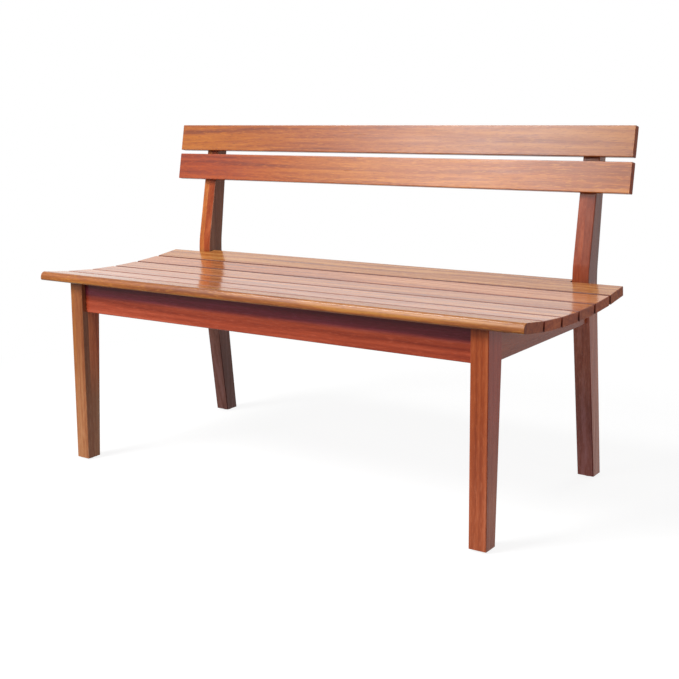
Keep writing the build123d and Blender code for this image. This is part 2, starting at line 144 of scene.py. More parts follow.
# Turns that lay a piece's grain along the local x of the wood pattern
GRAIN_ALONG_X = (0.0, 0.0, 0.0)
GRAIN_ALONG_Y = (0.0, 0.0, math.radians(-90))
GRAIN_ALONG_Z = (0.0, math.radians(90), 0.0)

# Where a board's own origin may lie in its log: along it, and both ways from the pith
LOG_X, LOG_Y, LOG_Z = (0.0, 9.0), (0.06, 0.20), (-0.25, -0.10)

# Noises in the wood: steps per metre along and across the grain, detail, roughness
WOOD_NOISES = {
    "wander": ((1.6, 5.0, 5.0), 3.0, 0.5),
    "streak": ((2.6, 95.0, 95.0), 3.0, 0.6),
    "cloud": ((1.3, 11.0, 11.0), 3.0, 0.5),
    "fleck": ((48.0, 420.0, 420.0), 2.0, 0.6),
    "pore": ((90.0, 2600.0, 2600.0), 1.0, 0.5),
    "ribbon": ((9.0, 70.0, 70.0), 2.0, 0.5),
}

# Shares of the growth bands, streaks and clouds in the figure, and how far from the figure's mean
# the dark and the light wood lie at a contrast of 1
GROWTH_SHARE, STREAK_SHARE, CLOUD_SHARE = 0.30, 0.42, 0.28
FIGURE_MEAN, FIGURE_SPREAD = 0.5, 0.12

# Values between which a noise, or a side of the normal, starts to show and shows in full
LIGHT_FLECKS, DARK_FLECKS, PORES = (0.53, 0.68), (0.56, 0.71), (0.60, 0.70)
SAWN_END, EASED_EDGE, STEEP_EDGE = (0.4, 0.7), (0.15, 0.5), (0.55, 0.80)

# How much pores and sawn ends colour the wood
PORE_TINT, END_TINT = 0.35, 0.8

# What ribbons, pores, sawn ends and eased edges add to the roughness, and the ribbons' mean
RIBBON_ROUGH, PORE_ROUGH, END_ROUGH, EDGE_ROUGH, RIBBON_MEAN = 0.12, 0.10, 0.45, 0.28, 0.06

# Shares of streaks and flecks in the relief, its strength and its height in metres
STREAK_RELIEF, FLECK_RELIEF, RELIEF_STRENGTH, RELIEF_HEIGHT = 0.30, 0.70, 0.12, 0.0003

# Turning marks on the screws: steps per metre, what they add to the roughness, and the least of it
STEEL_MARKS, MARKS_ROUGH, STEEL_ROUGH = (900.0, 900.0, 4000.0), 0.25, 0.22

# Mottle on the glides: steps per metre and detail, what it adds to the roughness and the least of
# it, and the values at which the plastic is dark and light
MOTTLE, MOTTLE_ROUGH, PLASTIC_ROUGH, MOTTLE_DARK, MOTTLE_LIGHT = (420.0, 3.0), 0.2, 0.38, 0.35, 0.65

WHITE = (1.0, 1.0, 1.0, 1.0)

# How far the camera sees, in metres: past the floor's far corners
CAMERA_REACH = 200.0


class Signal:
    """A shader socket. Arithmetic on it adds Math nodes to its tree."""

    def __init__(self, tree, socket=None):
        self.tree = tree
        self.socket = socket

    def node(self, kind, inputs=None, output=0, stops=None, **settings):
        """Adds any other node: its settings and stops first, then the values or links it takes."""
        made = self.tree.nodes.new(kind)
        for name, value in settings.items():
            setattr(made, name, value)
        for index, (place, colour) in enumerate(stops or ()):
            ends = made.color_ramp.elements
            stop = ends[index] if index < len(ends) else ends.new(place)
            stop.position = place
            stop.color = rgb(colour)
        for name, value in (inputs or {}).items():
            if isinstance(value, Signal):
                self.tree.links.new(value.socket, made.inputs[name])
            else:
                made.inputs[name].default_value = value
        return Signal(self.tree, made.outputs[output] if made.outputs else None)

    def math(self, operation, first, second=0.0):
        """Adds a Math node."""
        return self.node("ShaderNodeMath", {0: first, 1: second}, operation=operation)

    def __add__(self, other):
        return self.math("ADD", self, other)

    def __sub__(self, other):
        return self.math("SUBTRACT", self, other)

    def __rsub__(self, other):
        return self.math("SUBTRACT", other, self)

    def __mul__(self, other):
        return self.math("MULTIPLY", self, other)

    def __pow__(self, other):
        return self.math("POWER", self, other)

    def __abs__(self):
        return self.math("ABSOLUTE", self)

    __radd__ = __add__
    __rmul__ = __mul__

    def between(self, low, high):
        """0 at low and before it, 1 at high and past it, smooth in between."""
        return self.node(
            "ShaderNodeMapRange",
            {"Value": self, "From Min": low, "From Max": high},
            interpolation_type="SMOOTHSTEP",
        )

    def along(self, axis):
        """One coordinate of a vector."""
        return self.node("ShaderNodeSeparateXYZ", {0: self}, output=axis)

    def scaled(self, x, y, z):
        """A vector stretched along its axes."""
        return self.node("ShaderNodeVectorMath", {0: self, 1: (x, y, z)}, operation="MULTIPLY")

    def noise(self, scale, detail=2.0, roughness=0.5):
        """Soft noise on a vector, from 0 to 1."""
        return self.node(
            "ShaderNodeTexNoise",
            {"Vector": self, "Scale": scale, "Detail": detail, "Roughness": roughness},
        )

    def ramp(self, *stops):
        """A colour for each value, from places and colours."""
        return self.node("ShaderNodeValToRGB", {"Fac": self}, stops=stops)

    def tinted(self, colour, share, blend="MIX"):
        """This colour, blended with another by a share. 6, 7 and output 2 are colour sockets."""
        return self.node(
            "ShaderNodeMix",
            {0: share, 6: self, 7: colour},
            output=2,
            data_type="RGBA",
            blend_type=blend,
        )


def rgb(colour):
    """A colour with its alpha."""
    return (*colour, 1.0)


def new_material(name):
    """An empty material and a signal to start its nodes from."""
    material = bpy.data.materials.new(name)
    material.use_nodes = True
    material.node_tree.nodes.clear()
    return material, Signal(material.node_tree)


def finish_material(start, surface):
    """Gives a material its surface."""
    start.node("ShaderNodeOutputMaterial", {"Surface": surface})


def dress(node, material):
    """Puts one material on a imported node."""
    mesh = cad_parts[node].data
    mesh.materials.clear()
    mesh.materials.append(material)


def plain_wood(wood, log, noises, pore, contrast, flecks):
    """Colour of the wood in the log: growth bands round a pith, streaks, flecks and pores."""
    from_pith = (log.along(Y) ** 2.0 + log.along(Z) ** 2.0) ** 0.5
    ring = from_pith + (noises["wander"] - 0.5) * wood.ring_wander
    growth = log.node(
        "ShaderNodeTexNoise",
        {"W": ring * (1.0 / wood.ring_width), "Scale": 1.0, "Detail": 2.0, "Roughness": 0.5},
        noise_dimensions="1D",
    )
    figure = growth * GROWTH_SHARE + noises["streak"] * STREAK_SHARE
    figure = figure + noises["cloud"] * CLOUD_SHARE
    spread = FIGURE_SPREAD / contrast
    shade = figure.ramp(
        (FIGURE_MEAN - spread, wood.dark),
        (FIGURE_MEAN, wood.middle),
        (FIGURE_MEAN + spread, wood.light),
    )
    fleck = noises["fleck"]
    shade = shade.tinted(rgb(wood.light), fleck.between(*LIGHT_FLECKS) * flecks)
    shade = shade.tinted(rgb(wood.dark), (1.0 - fleck).between(*DARK_FLECKS) * flecks)
    return shade.tinted(rgb(wood.pore), pore * PORE_TINT)


def toned_wood(wood, node, plain, place):
    """The wood in its board's tone, and in the tones of the board's parts."""
    shade = plain.tinted(rgb(getattr(wood, f"{node}_tone")), 1.0, "MULTIPLY")
    for name, fades in TONED_PARTS.get(node, ()):
        share = 1.0
        for axis, (low, high) in fades.items():
            share = place.along(axis).between(low, high) * share
        shade = shade.tinted(plain.tinted(rgb(getattr(wood, name)), 1.0, "MULTIPLY"), share)
    return shade


def edge_masks(normal, in_front, behind):
    """Where the eased edges of a board carry painted shade of the gaps, and where they are dull."""
    turned = normal.along(Y)
    front = (turned * -1.0).between(*EASED_EDGE)
    rear = turned.between(*EASED_EDGE)
    dark = front * in_front + rear * behind
    steep = front * in_front if in_front else (turned * -1.0).between(*STEEP_EDGE)
    return dark, steep + rear


def wood_material(wood, node, turn, part):
    """Oiled hardwood for one board, solid all through, cut from a place of its own in a log."""
    material, start = new_material(f"{node}_wood")
    draw = random.Random(node)
    pith = Vector((0.0, draw.uniform(*LOG_Y), draw.uniform(*LOG_Z)))
    log_place = pith + Vector((draw.uniform(*LOG_X), 0.0, 0.0))
    kinds = ("gloss", "roughness", "contrast", "flecks")
    gloss, roughness, contrast, flecks = (getattr(wood, f"{part}_{kind}") for kind in kinds)

    place = start.node("ShaderNodeTexCoord", output="Object")
    log = start.node(
        "ShaderNodeMapping", {"Vector": place, "Location": log_place, "Rotation": turn}
    )
    normal = start.node("ShaderNodeTexCoord", output="Normal")
    face = start.node(
        "ShaderNodeMapping", {"Vector": normal, "Rotation": turn}, vector_type="NORMAL"
    )
    sawn = abs(face.along(X)).between(*SAWN_END)
    noises = {
        name: log.scaled(*steps).noise(1.0, *kind) for name, (steps, *kind) in WOOD_NOISES.items()
    }
    pore = noises["pore"].between(*PORES)

    plain = plain_wood(wood, log, noises, pore, contrast, flecks)
    shade = toned_wood(wood, node, plain, place)
    shade = shade.tinted(rgb(wood.end_grain), sawn * END_TINT, "MULTIPLY")
    dull = 0.0
    if node in GAP_SHADE_EDGES:
        dark, dull = edge_masks(normal, *GAP_SHADE_EDGES[node])
        # Painted shade of the gaps between the seat boards, on their eased edges
        shade = shade.tinted(rgb(wood.edge), dark, "MULTIPLY")

    uneven = noises["ribbon"] * RIBBON_ROUGH + pore * PORE_ROUGH + sawn * END_ROUGH
    rough = uneven + (roughness - RIBBON_MEAN) + dull * EDGE_ROUGH
    relief = noises["streak"] * STREAK_RELIEF + noises["fleck"] * FLECK_RELIEF
    bump = relief.node(
        "ShaderNodeBump",
        {"Height": relief, "Strength": RELIEF_STRENGTH, "Distance": RELIEF_HEIGHT},
    )
    surface = start.node(
        "ShaderNodeBsdfPrincipled",
        {"Base Color": shade, "Roughness": rough, "Normal": bump, "Specular IOR Level": gloss},
    )
    finish_material(start, surface)
    return material


def dress_boards(wood, nodes, turn, part):
    """Gives each board its own wood, finished as its part of the bench is."""
    for node in nodes:
        dress(node, wood_material(wood, node, turn, part))


def steel_material(fittings):
    """Plain stainless steel with fine turning marks."""
    material, start = new_material("screw_steel")
    place = start.node("ShaderNodeTexCoord", output="Object")
    rough = place.scaled(*STEEL_MARKS).noise(1.0) * MARKS_ROUGH + STEEL_ROUGH
    surface = start.node(
        "ShaderNodeBsdfPrincipled",
        {"Base Color": rgb(fittings.steel), "Metallic": 1.0, "Roughness": rough},
    )
    finish_material(start, surface)
    return material


def plastic_material(fittings):
    """Brown moulded plastic, a little mottled."""
    material, start = new_material("glide_plastic")
    place = start.node("ShaderNodeTexCoord", output="Object")
    mottle = place.noise(*MOTTLE)
    shade = mottle.ramp(
        (MOTTLE_DARK, fittings.plastic_dark), (MOTTLE_LIGHT, fittings.plastic_light)
    )
    rough = mottle * MOTTLE_ROUGH + PLASTIC_ROUGH
    surface = start.node("ShaderNodeBsdfPrincipled", {"Base Color": shade, "Roughness": rough})
    finish_material(start, surface)
    return material


def keep_piece(shape, name, node):
    """Makes a shape, built at its place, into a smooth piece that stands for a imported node."""
    bmesh.ops.recalc_face_normals(shape, faces=shape.faces)
    mesh = bpy.data.meshes.new(name)
    shape.to_mesh(mesh)
    shape.free()
    mesh.shade_smooth()
    mesh.materials.append(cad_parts[node].data.materials[0])
    piece = bpy.data.objects.new(name, mesh)
    bpy.context.scene.collection.objects.link(piece)
    piece.modifiers.new("even_normals", "WEIGHTED_NORMAL")
    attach(piece, "root")
    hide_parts(node)


def round_edges(shape, wanted, radius, steps):
    """Rounds the edges of a shape that a test picks."""
    bmesh.ops.bevel(
        shape,
        geom=[edge for edge in shape.edges if wanted(edge)],
        offset=radius,
        offset_type="OFFSET",
        segments=steps,
        profile=0.5,
        affect="EDGES",
        clamp_overlap=True,
        material=-1,
    )


def long_edge(size, side, level):
    """Picks a board's long edge: side is -1 in front and 1 behind, level -1 below and 1 above."""
    return lambda edge: all(
        corner.co.y * side > size[1] * NEARLY_HALF and corner.co.z * level > size[2] * NEARLY_HALF
        for corner in edge.verts
    )


def build_front_slat(build):
    """The front slat with its full nose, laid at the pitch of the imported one."""
    shape = bmesh.new()
    bmesh.ops.create_cube(shape, size=1.0)
    size = (build.slat_length, build.front_slat_width, build.slat_thickness)
    bmesh.ops.scale(shape, vec=size, verts=shape.verts)
    round_edges(shape, long_edge(size, -1, 1), build.nose_top_radius, NOSE_TOP_STEPS)
    round_edges(shape, long_edge(size, -1, -1), build.nose_bottom_radius, NOSE_BOTTOM_STEPS)
    round_edges(shape, long_edge(size, 1, 1), build.edge_radius, EDGE_STEPS)
    round_edges(shape, long_edge(size, 1, -1), build.edge_radius, EDGE_STEPS)
    # Every edge once more, for the ends. The fine steps of the nose hold this back to about 0.5 mm.
    round_edges(shape, lambda edge: True, build.edge_radius, EDGE_STEPS)
    turn = Matrix.Rotation(-build.front_slat_pitch, 4, "X")
    lay = Matrix.Translation(build.front_slat_place) @ turn
    bmesh.ops.transform(shape, matrix=lay, verts=shape.verts)
    keep_piece(shape, "front_slat", "seat_slat_1")


def build_post(build, node):
    """A rear leg and post in one: the bend rounded, the long edges eased, the top bevelled."""
    side = 1 if node == "rear_leg_right" else -1
    shape = bmesh.new()
    corners = [shape.verts.new((side * build.leg_inner, y, z)) for y, z in POST_OUTLINE]
    grown = bmesh.ops.extrude_face_region(shape, geom=[shape.faces.new(corners)])
    moved = [item for item in grown["geom"] if isinstance(item, bmesh.types.BMVert)]
    bmesh.ops.translate(shape, vec=(side * build.leg_width, 0.0, 0.0), verts=moved)
    for front, run in ((True, build.bend_front_run), (False, build.bend_rear_run)):
        round_edges(
            shape,
            lambda edge: all(
                abs(corner.co.z - BEND_Z) < SAME_LEVEL and (corner.co.y < BEND_MIDDLE_Y) == front
                for corner in edge.verts
            ),
            run,
            BEND_STEPS,
        )
    round_edges(
        shape,
        lambda edge: abs(edge.verts[0].co.x - edge.verts[1].co.x) < SAME_LEVEL
        and any(corner.co.z > FOOT_Z + SAME_LEVEL for corner in edge.verts)
        and any(corner.co.z < REAR_TOP_Z - SAME_LEVEL for corner in edge.verts),
        build.leg_edge_radius,
        EDGE_STEPS,
    )
    head = max(shape.faces, key=lambda face: face.calc_center_median().z)
    round_edges(shape, lambda edge: edge in head.edges[:], build.post_bevel, BEVEL_STEPS)
    keep_piece(shape, node.replace("leg", "post"), node)


def build_glide(fittings, node):
    """A glide with a domed rim, a dimple over its nail's head, and the nail up in the foot."""
    low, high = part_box(node)
    rim = fittings.glide_diameter / 2
    nail = fittings.nail_diameter / 2
    # How far the middle of the rim's round lies from the corner that it takes off
    tuck = fittings.rim_round * 0.3
    outline = (
        (0.0, fittings.dimple_depth),
        (nail, fittings.dimple_depth),
        (nail * 2, 0.0),
        (rim - fittings.rim_round, 0.0),
        (rim - tuck, tuck),
        (rim, fittings.rim_round),
        (rim, fittings.glide_height),
        (nail, fittings.glide_height),
        (nail, high.z),
        (0.0, high.z),
    )
    shape = bmesh.new()
    corners = [shape.verts.new((reach, 0.0, height)) for reach, height in outline]
    lines = [shape.edges.new(pair) for pair in zip(corners, corners[1:])]
    bmesh.ops.spin(
        shape,
        geom=corners + lines,
        cent=(0.0, 0.0, 0.0),
        axis=(0.0, 0.0, 1.0),
        angle=math.tau,
        steps=SPIN_STEPS,
        use_merge=True,
        use_duplicate=False,
    )
    bmesh.ops.remove_doubles(shape, verts=shape.verts, dist=SAME_CORNER)
    middle = (low + high) / 2
    bmesh.ops.translate(shape, vec=(middle.x, middle.y, 0.0), verts=shape.verts)
    keep_piece(shape, f"{node}_domed", node)


def seen_directly(start):
    """1 for rays that show the studio itself, in the open or in a reflection, 0 for its light."""
    rays = [
        start.node("ShaderNodeLightPath", output=name)
        for name in ("Is Camera Ray", "Is Glossy Ray", "Is Transmission Ray")
    ]
    return start.math("MAXIMUM", start.math("MAXIMUM", rays[0], rays[1]), rays[2])


def floor_material(look):
    """Pale matt floor that reads as white where it is seen and keeps the bench's soft shadow."""
    material, start = new_material("studio_floor")
    place = start.node("ShaderNodeTexCoord", output="Object")
    away = place.node("ShaderNodeVectorMath", {0: place}, output="Value", operation="LENGTH")
    far = away.between(look.shadow_reach * look.shadow_full, look.shadow_reach)
    matt = start.node("ShaderNodeBsdfDiffuse", {"Color": rgb(look.floor_colour)})
    faint = start.node("ShaderNodeBsdfDiffuse", {"Color": rgb(look.shadow_colour)})
    glow = start.node("ShaderNodeEmission", {"Color": WHITE, "Strength": look.floor_glow})
    near = start.node("ShaderNodeAddShader", {0: faint, 1: glow})
    white = start.node("ShaderNodeEmission", {"Color": WHITE, "Strength": 1.0})
    seen = start.node("ShaderNodeMixShader", {0: far, 1: near, 2: white})
    surface = start.node("ShaderNodeMixShader", {0: seen_directly(start), 1: matt, 2: seen})
    finish_material(start, surface)
    return material


def build_floor(look):
    """The floor, wide enough to reach the horizon."""
    mesh = bpy.data.meshes.new("studio_floor")
    shape = bmesh.new()
    bmesh.ops.create_grid(shape, x_segments=1, y_segments=1, size=look.floor_size / 2)
    shape.to_mesh(mesh)
    shape.free()
    floor = bpy.data.objects.new("studio_floor", mesh)
    bpy.context.scene.collection.objects.link(floor)
    mesh.materials.append(floor_material(look))


def build_world(look):
    """Even light all round, white to the camera and in reflections."""
    world = bpy.data.worlds.new("studio")
    bpy.context.scene.world = world
    world.use_nodes = True
    world.node_tree.nodes.clear()
    start = Signal(world.node_tree)
    strength = seen_directly(start) * (1.0 - look.sky) + look.sky
    light = start.node("ShaderNodeBackground", {"Color": WHITE, "Strength": strength})
    start.node("ShaderNodeOutputWorld", {"Surface": light})


def add_lamp(look, name):
    """A soft box that points at the middle of the bench."""
    place = getattr(look, f"{name}_place")
    lamp = bpy.data.lights.new(name, "AREA")
    lamp.shape = "RECTANGLE"
    lamp.size, lamp.size_y = getattr(look, f"{name}_size")
    lamp.energy = getattr(look, f"{name}_power")
    box = bpy.data.objects.new(name, lamp)
    box.location = place
    box.rotation_mode = "QUATERNION"
    box.rotation_quaternion = (look.lamp_aim - place).to_track_quat("-Z", "Y")
    bpy.context.scene.collection.objects.link(box)
    return box


def build_camera(look):
    """The camera at the photograph's place, with its small lens shift."""
    data = bpy.data.cameras.new("camera")
    data.sensor_fit = "HORIZONTAL"
    data.lens = look.focal_share * data.sensor_width
    data.shift_x, data.shift_y = look.shift
    data.clip_end = CAMERA_REACH
    camera = bpy.data.objects.new("camera", data)
    turn = (
        Matrix.Rotation(look.yaw, 4, "Z")
        @ Matrix.Rotation(math.radians(90) - look.pitch, 4, "X")
        @ Matrix.Rotation(look.roll, 4, "Z")
    )
    camera.matrix_world = Matrix.Translation(look.camera_place) @ turn
    bpy.context.scene.collection.objects.link(camera)
    bpy.context.scene.camera = camera


def colour(name, text, value):
    """A colour property. A tone may be more than 1, because it multiplies the wood's colour."""
    return FloatVectorProperty(
        name=name, description=text, subtype="COLOR", default=value, min=0.0, max=4.0
    )


def length(name, text, value):
    """A length property, in metres."""
    return FloatProperty(name=name, description=text, unit="LENGTH", default=value, precision=4)


def angle(name, text, value):
    """An angle property, in radians."""
    return FloatProperty(name=name, description=text, unit="ROTATION", default=value)


def watts(name, text, value):
    """A power property, in watts."""
    return FloatProperty(name=name, description=text, unit="POWER", default=value)


def factor(name, text, value):
    """A property for a share from 0 to 1."""
    return FloatProperty(
        name=name, description=text, subtype="FACTOR", default=value, min=0.0, max=1.0
    )


def number(name, text, value):
    """A plain number property."""
    return FloatProperty(name=name, description=text, default=value)


def point(name, text, value):
    """A property for a place, in metres."""
    return FloatVectorProperty(name=name, description=text, subtype="TRANSLATION", default=value)


def lamp_size(name, text, value):
    """A property for a lamp's width and height, in metres."""
    return FloatVectorProperty(name=name, description=text, unit="LENGTH", size=2, default=value)


class BenchShapes(bpy.types.PropertyGroup):
    """Sizes of the front slat, and of the rear legs with their posts."""

    slat_length: length("Slat length", "Length of the front slat", 1.25)
    front_slat_width: length("Front slat width", "Width of the front slat", 0.0825)
    slat_thickness: length("Slat thickness", "Thickness of the front slat", 0.021)
    front_slat_place: point(
        "Front slat place", "Middle of the front slat", (0.0, -0.256850, 0.440884)
    )
    front_slat_pitch: angle(
        "Front slat pitch", "How far the front slat leans up in front", 0.11963
    )
    nose_top_radius: length("Nose top", "Radius of the nose above", 0.012)
    nose_bottom_radius: length("Nose bottom", "Radius of the nose below", 0.005)
    edge_radius: length("Eased edge", "Radius of the rear edges, and the most for the ends", 0.003)
    leg_inner: length("Leg inside", "From the middle of the bench to a leg's inner face", 0.509)
    leg_width: length("Leg width", "Width of a rear leg, seen from the front", 0.0375)
    leg_edge_radius: length("Leg edge", "Radius of a rear leg's long edges", 0.002)
    bend_front_run: length("Bend in front", "Reach of the bend's round in front", 0.03284)
    bend_rear_run: length("Bend behind", "Reach of the bend's round behind", 0.02961)
    post_bevel: length("Post bevel", "Bevel round the top of a post", 0.001)


class BenchFittings(bpy.types.PropertyGroup):
    """Sizes and colours of the glides, and the colour of the screws."""

    glide_diameter: length("Glide diameter", "Diameter of a glide", 0.023)
    glide_height: length("Glide height", "Height of a glide under the foot", 0.004)
    rim_round: length("Glide rim", "Rounding of a glide's rim", 0.001)
    dimple_depth: length("Glide dimple", "Depth of the dimple over the nail's head", 0.0008)
    nail_diameter: length("Glide nail", "Diameter of a glide's nail", 0.003)
    plastic_dark: colour("Dark plastic", "Darker mottle of the glides", (0.050, 0.024, 0.016))
    plastic_light: colour("Light plastic", "Lighter mottle of the glides", (0.080, 0.040, 0.026))
    steel: colour("Steel", "Colour of the screws", (0.62, 0.60, 0.57))


class BenchWood(bpy.types.PropertyGroup):
    """The hardwood, its oiled finish, and the tone of each board."""

    dark: colour("Dark", "Darkest bands", (0.250, 0.052, 0.013))
    middle: colour("Middle", "Most of the wood", (0.440, 0.120, 0.030))
    light: colour("Light", "Lightest bands and flecks", (0.640, 0.240, 0.080))
    pore: colour("Pores", "Pores that hold dark oil", (0.110, 0.030, 0.012))
    # Painted shade of the gaps, laid on the seat boards' eased edges
    edge: colour("Edges", "Tint of the seat boards' eased edges", (0.30, 0.16, 0.20))
    end_grain: colour("End grain", "Tint of the sawn ends", (0.58, 0.24, 0.20))
    ring_width: length("Ring width", "Width of one growth band", 0.011)
    ring_wander: length("Ring wander", "How far the bands stray", 0.05)
    seat_contrast: number("Seat contrast", "Contrast of the seat's figure", 1.0)
    back_contrast: number("Back contrast", "Contrast of the back's figure", 1.0)
    frame_contrast: number("Frame contrast", "Contrast of the frame's figure", 0.65)
    seat_flecks: factor("Seat flecks", "Strength of the seat's flecks", 0.60)
    back_flecks: factor("Back flecks", "Strength of the back's flecks", 0.60)
    frame_flecks: factor("Frame flecks", "Strength of the frame's flecks", 0.32)
    seat_roughness: factor("Seat roughness", "Roughness of the seat", 0.17)
    back_roughness: factor("Back roughness", "Roughness of the back", 0.30)
    frame_roughness: factor("Frame roughness", "Roughness of the frame", 0.26)
    seat_gloss: factor("Seat gloss", "Mirror share of the seat", 0.35)
    back_gloss: factor("Back gloss", "Mirror share of the back", 0.5)
    frame_gloss: factor("Frame gloss", "Mirror share of the frame", 0.20)
    seat_slat_1_tone: colour("Seat slat 1", "Tone of the front slat's nose", (0.62, 0.63, 0.23))
    # Painted sheen: the front slat's top behind the nose, paler than its nose
    front_slat_painted_sheen_tone: colour("Seat slat 1 top", "Tone behind the nose", (0.92, 1.20, 1.40))
    seat_slat_2_tone: colour("Seat slat 2", "Tone of the second slat", (1.06, 1.20, 1.38))
    seat_slat_3_tone: colour("Seat slat 3", "Tone of the third slat", (0.95, 1.08, 1.25))
    seat_slat_4_tone: colour("Seat slat 4", "Tone of the fourth slat", (0.86, 0.97, 1.12))
    seat_slat_5_tone: colour("Seat slat 5", "Tone of the fifth slat", (0.95, 1.08, 1.25))
    seat_slat_6_tone: colour("Seat slat 6", "Tone of the rear slat", (0.86, 1.05, 0.90))
    back_slat_lower_tone: colour("Lower slat", "Tone of its left end", (0.57, 0.25, 0.04))
    # Painted sheen that fades in towards the right of the lower slat
    back_slat_lower_painted_sheen_tone: colour("Lower slat right", "Tone of the rest", (0.76, 0.72, 0.26))
    back_slat_upper_tone: colour("Upper slat", "Tone of its left end", (0.64, 0.52, 0.10))
    # Painted sheen that fades in towards the right of the upper slat
    back_slat_upper_painted_sheen_tone: colour("Upper slat right", "Tone of the rest", (0.56, 0.51, 0.20))
    front_rail_tone: colour("Front rail", "Tone of the front rail", (0.75, 0.42, 0.62))
    # Painted shadow of the front slat's nose on the rail's upper band
    front_rail_painted_shadow_tone: colour("Front rail top", "Tone of its upper band", (0.34, 0.15, 0.84))
    rear_rail_tone: colour("Rear rail", "Tone of the rear rail", (0.85, 0.60, 0.60))
    side_rail_left_tone: colour("Left rail", "Tone of the left side rail", (0.85, 0.70, 0.70))
    side_rail_right_tone: colour("Right rail", "Tone of the right side rail", (0.76, 0.50, 0.56))
    centre_bearer_tone: colour("Bearer", "Tone of the centre bearer", (0.85, 0.70, 0.70))
    front_leg_left_tone: colour("Left front leg", "Tone of that leg", (0.59, 0.64, 0.70))
    left_leg_edge_tone: colour("Left front leg edge", "Tone of its outer strip", (0.68, 0.77, 0.66))
    left_leg_side_tone: colour("Left front leg side", "Tone of its inner side", (0.68, 0.88, 1.55))
    left_side_foot_tone: colour("Left front foot side", "Tone of that side", (0.95, 1.40, 2.70))
    left_leg_foot_tone: colour("Left front foot", "Tone of its paler foot", (0.82, 1.10, 1.55))
    left_leg_rear_tone: colour("Left front leg rear", "Tone of its rear strip", (1.56, 1.46, 2.00))
    front_leg_right_tone: colour("Right front leg", "Tone of that leg", (0.72, 0.51, 0.50))
    right_leg_side_tone: colour("Right front side", "Tone of its outer side", (0.77, 0.27, 0.28))
    right_leg_foot_tone: colour("Right front foot", "Tone of its paler foot", (0.92, 0.78, 1.12))
    rear_leg_left_tone: colour("Left post", "Tone of its outer strip", (0.84, 0.84, 0.70))
    left_strip_tone: colour("Left post strip", "Tone of its inner strip", (0.60, 0.39, 0.36))
    left_side_tone: colour("Left post side", "Tone of its inner side", (0.45, 0.61, 1.20))
    # Painted shade of the seat on the left rear leg under it, darker still at its foot
    left_foot_painted_shade_tone: colour("Left rear leg", "Tone of the leg under the seat", (0.54, 0.68, 1.65))
    left_toe_painted_shade_tone: colour("Left rear foot", "Tone of the leg's foot", (0.35, 0.42, 1.12))
    rear_leg_right_tone: colour("Right post", "Tone of its inner strip", (0.56, 0.37, 0.42))
    right_strip_tone: colour("Right post strip", "Tone of its outer strip", (0.42, 0.28, 0.38))
    right_block_tone: colour("Right post block", "Tone of its lighter top", (0.58, 0.54, 0.74))
    # Painted light under the seat: the leg lighter and bluer, a little less at its foot and outer
    # side
    right_foot_painted_light_tone: colour("Right rear leg", "Tone of the leg under the seat", (1.30, 1.50, 3.70))
    right_toe_painted_light_tone: colour("Right rear foot", "Tone of the leg's foot", (0.90, 1.05, 3.20))
    right_side_painted_light_tone: colour("Right rear leg side", "Tone of its outer side", (0.95, 0.80, 1.30))
    back_screw_plugs_tone: colour("Plugs", "Tone of the plugs", (0.85, 0.80, 0.80))


class BenchLook(bpy.types.PropertyGroup):
    """Camera, floor, lamps and even light of the studio."""

    camera_place: point("Camera place", "Where the camera stands", (1.4796, -2.1829, 0.8564))
    yaw: angle("Yaw", "Turn of the camera to its left", math.radians(36.497))
    pitch: angle("Pitch", "How far the camera looks down", math.radians(9.140))
    roll: angle("Roll", "Tilt of the camera", math.radians(-0.948))
    focal_share: number("Focal share", "Focal length as a share of the picture's width", 1.7142)
    shift: FloatVectorProperty(
        name="Shift", description="Shift of the lens as shares of the picture", size=2,
        default=(0.0899, -0.0790),
    )
    floor_size: length("Floor size", "Side of the square floor", 60.0)
    floor_colour: colour("Floor colour", "Its colour in the light it throws", (0.20, 0.20, 0.20))
    floor_glow: factor("Floor glow", "What the seen floor has of white without any light", 0.88)
    shadow_colour: colour("Shadow", "Colour of the part that the shadow dims", (0.15, 0.15, 0.15))
    shadow_reach: length("Shadow reach", "Where the floor's shadow has faded out", 1.6)
    shadow_full: factor("Full shadow", "Share of that reach with the shadow in full", 0.6)
    lamp_aim: point("Lamp aim", "Where all lamps point", (0.0, 0.0, 0.45))
    key_place: point("Key place", "Where the key lamp hangs", (-1.6, -2.9, 3.65))
    key_size: lamp_size("Key size", "Width and height of the key lamp", (1.7, 1.7))
    key_power: watts("Key power", "Power of the key lamp", 245.0)
    fill_place: point("Fill place", "Where the side fill stands", (4.0, -0.8, 1.2))
    fill_size: lamp_size("Fill size", "Width and height of the side fill", (1.5, 1.5))
    fill_power: watts("Fill power", "Power of the side fill", 20.0)
    panel_place: point("Panel place", "Where the front panel stands", (-1.55, -3.3, 2.0))
    panel_size: lamp_size("Panel size", "Width and height of the front panel", (1.2, 0.8))
    panel_power: watts("Panel power", "Power of the front panel", 44.0)
    rear_place: point("Rear place", "Where the rear lamp stands", (0.7, 3.5, 2.4))
    rear_size: lamp_size("Rear size", "Width and height of the rear lamp", (1.5, 1.5))
    rear_power: watts("Rear power", "Power of the rear lamp", 30.0)
    strip_place: point("Strip place", "Where the strip lamp hangs", (-0.78, -0.24, 2.2))
    strip_size: lamp_size("Strip size", "Width and height of the strip lamp", (0.12, 1.15))
    strip_power: watts("Strip power", "Power of the strip lamp", 26.0)
    sky: number("Sky", "Strength of the even light all round", 0.28)


class BENCH_OT_seat(bpy.types.Operator):
    """Dresses the six seat slats"""

    bl_idname = "bench.seat"
    bl_label = "Seat slats"

    def execute(self, context):
        dress_boards(context.scene.bench_wood, SEAT_SLATS, GRAIN_ALONG_X, "seat")
        return {"FINISHED"}


